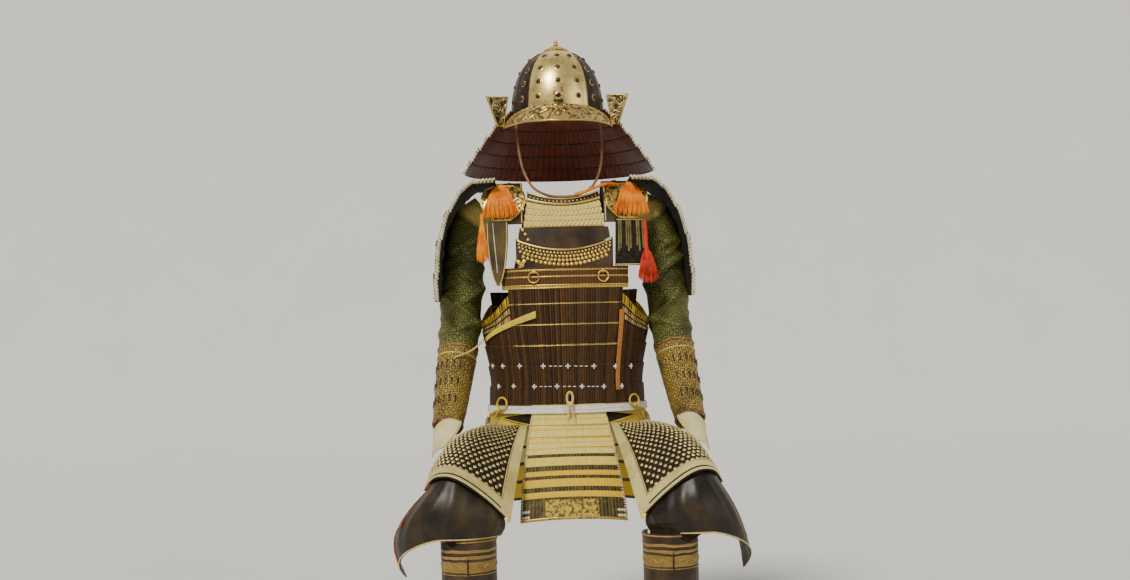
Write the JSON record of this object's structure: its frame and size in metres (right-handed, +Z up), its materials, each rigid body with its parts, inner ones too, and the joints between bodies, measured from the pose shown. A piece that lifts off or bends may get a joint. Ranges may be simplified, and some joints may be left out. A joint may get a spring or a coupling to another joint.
{
  "type": "samurai armour",
  "caption": "Seated samurai armour, hollow as worn: studded helmet with flared neck guard, laced cuirass, shoulder guards, sleeves, tassets, thigh, knee and shin guards.",
  "frame": {"origin": "middle of the waist opening, level with the cuirass's lower edge", "axes": "+Z up; the front of the armour faces -Y; +X is on the right seen from the front"},
  "size_m": [0.7217, 0.6632, 1.4117],
  "materials": {
    "gilt": "gilded and worked in low relief",
    "dark_iron": "dark russet iron with gilded front plates",
    "red_lacquer": "red-brown lacquer",
    "brown_lacing": "close brown silk lacing over lacquered scales",
    "black_lacquer": "black lacquer with pale laced edges",
    "yellow_lacing": "yellow and cream silk lacing",
    "white_cloth": "white woven cloth",
    "green_brocade": "green and gold brocade",
    "gold_brocade": "gold brocade",
    "orange_silk": "twisted orange silk",
    "red_silk": "twisted red silk",
    "brown_leather": "dark brown lacquered leather",
    "studded_black": "black cloth closely set with small pale plates"
  },
  "bodies": {
    "root": {"chest_band": "gilt", "chest_ring_left": "gilt", "chest_ring_right": "gilt", "helmet_crest_holder": "gilt", "helmet_crown_ring": "gilt", "helmet_turnback_left": "gilt", "helmet_turnback_right": "gilt", "helmet_visor": "gilt", "leaf_plate_left": "gilt", "leaf_plate_right": "gilt", "helmet_bowl": "dark_iron", "helmet_neck_guard": "red_lacquer", "cuirass_back": "brown_lacing", "cuirass_front": "brown_lacing", "cuirass_side_left": "brown_lacing", "cuirass_side_right": "brown_lacing", "upper_back": "brown_lacing", "breast_plate": "black_lacquer", "shoulder_guard_left": "black_lacquer", "shoulder_guard_right": "black_lacquer", "side_cord": "yellow_lacing", "slanted_edge_band": "yellow_lacing", "tasset_back_left": "yellow_lacing", "tasset_back_right": "yellow_lacing", "tasset_front": "yellow_lacing", "tasset_side_left": "yellow_lacing", "tasset_side_right": "yellow_lacing", "hand_guard_left": "white_cloth", "hand_guard_right": "white_cloth", "waist_sash": "white_cloth", "sleeve_upper_left": "green_brocade", "sleeve_upper_right": "green_brocade", "sleeve_forearm_left": "gold_brocade", "sleeve_forearm_right": "gold_brocade", "thigh_guard_band": "gold_brocade", "chin_cord_tail": "orange_silk", "tassel_large_left": "orange_silk", "tassel_large_right": "orange_silk", "tassel_small_left": "orange_silk", "tassel_small_right": "red_silk", "chest_plate": "brown_leather", "chin_cord": "brown_leather", "hinge_strip": "brown_leather", "knee_guard_left": "brown_leather", "knee_guard_right": "brown_leather", "narrow_pendant_left": "brown_leather", "shin_guard_left": "brown_leather", "shin_guard_right": "brown_leather", "shoulder_strap_left": "brown_leather", "shoulder_strap_right": "brown_leather", "chest_lame": "studded_black", "thigh_guard_left": "studded_black", "thigh_guard_right": "studded_black", "wide_pendant_right": "studded_black"}
  },
  "joints": []
}
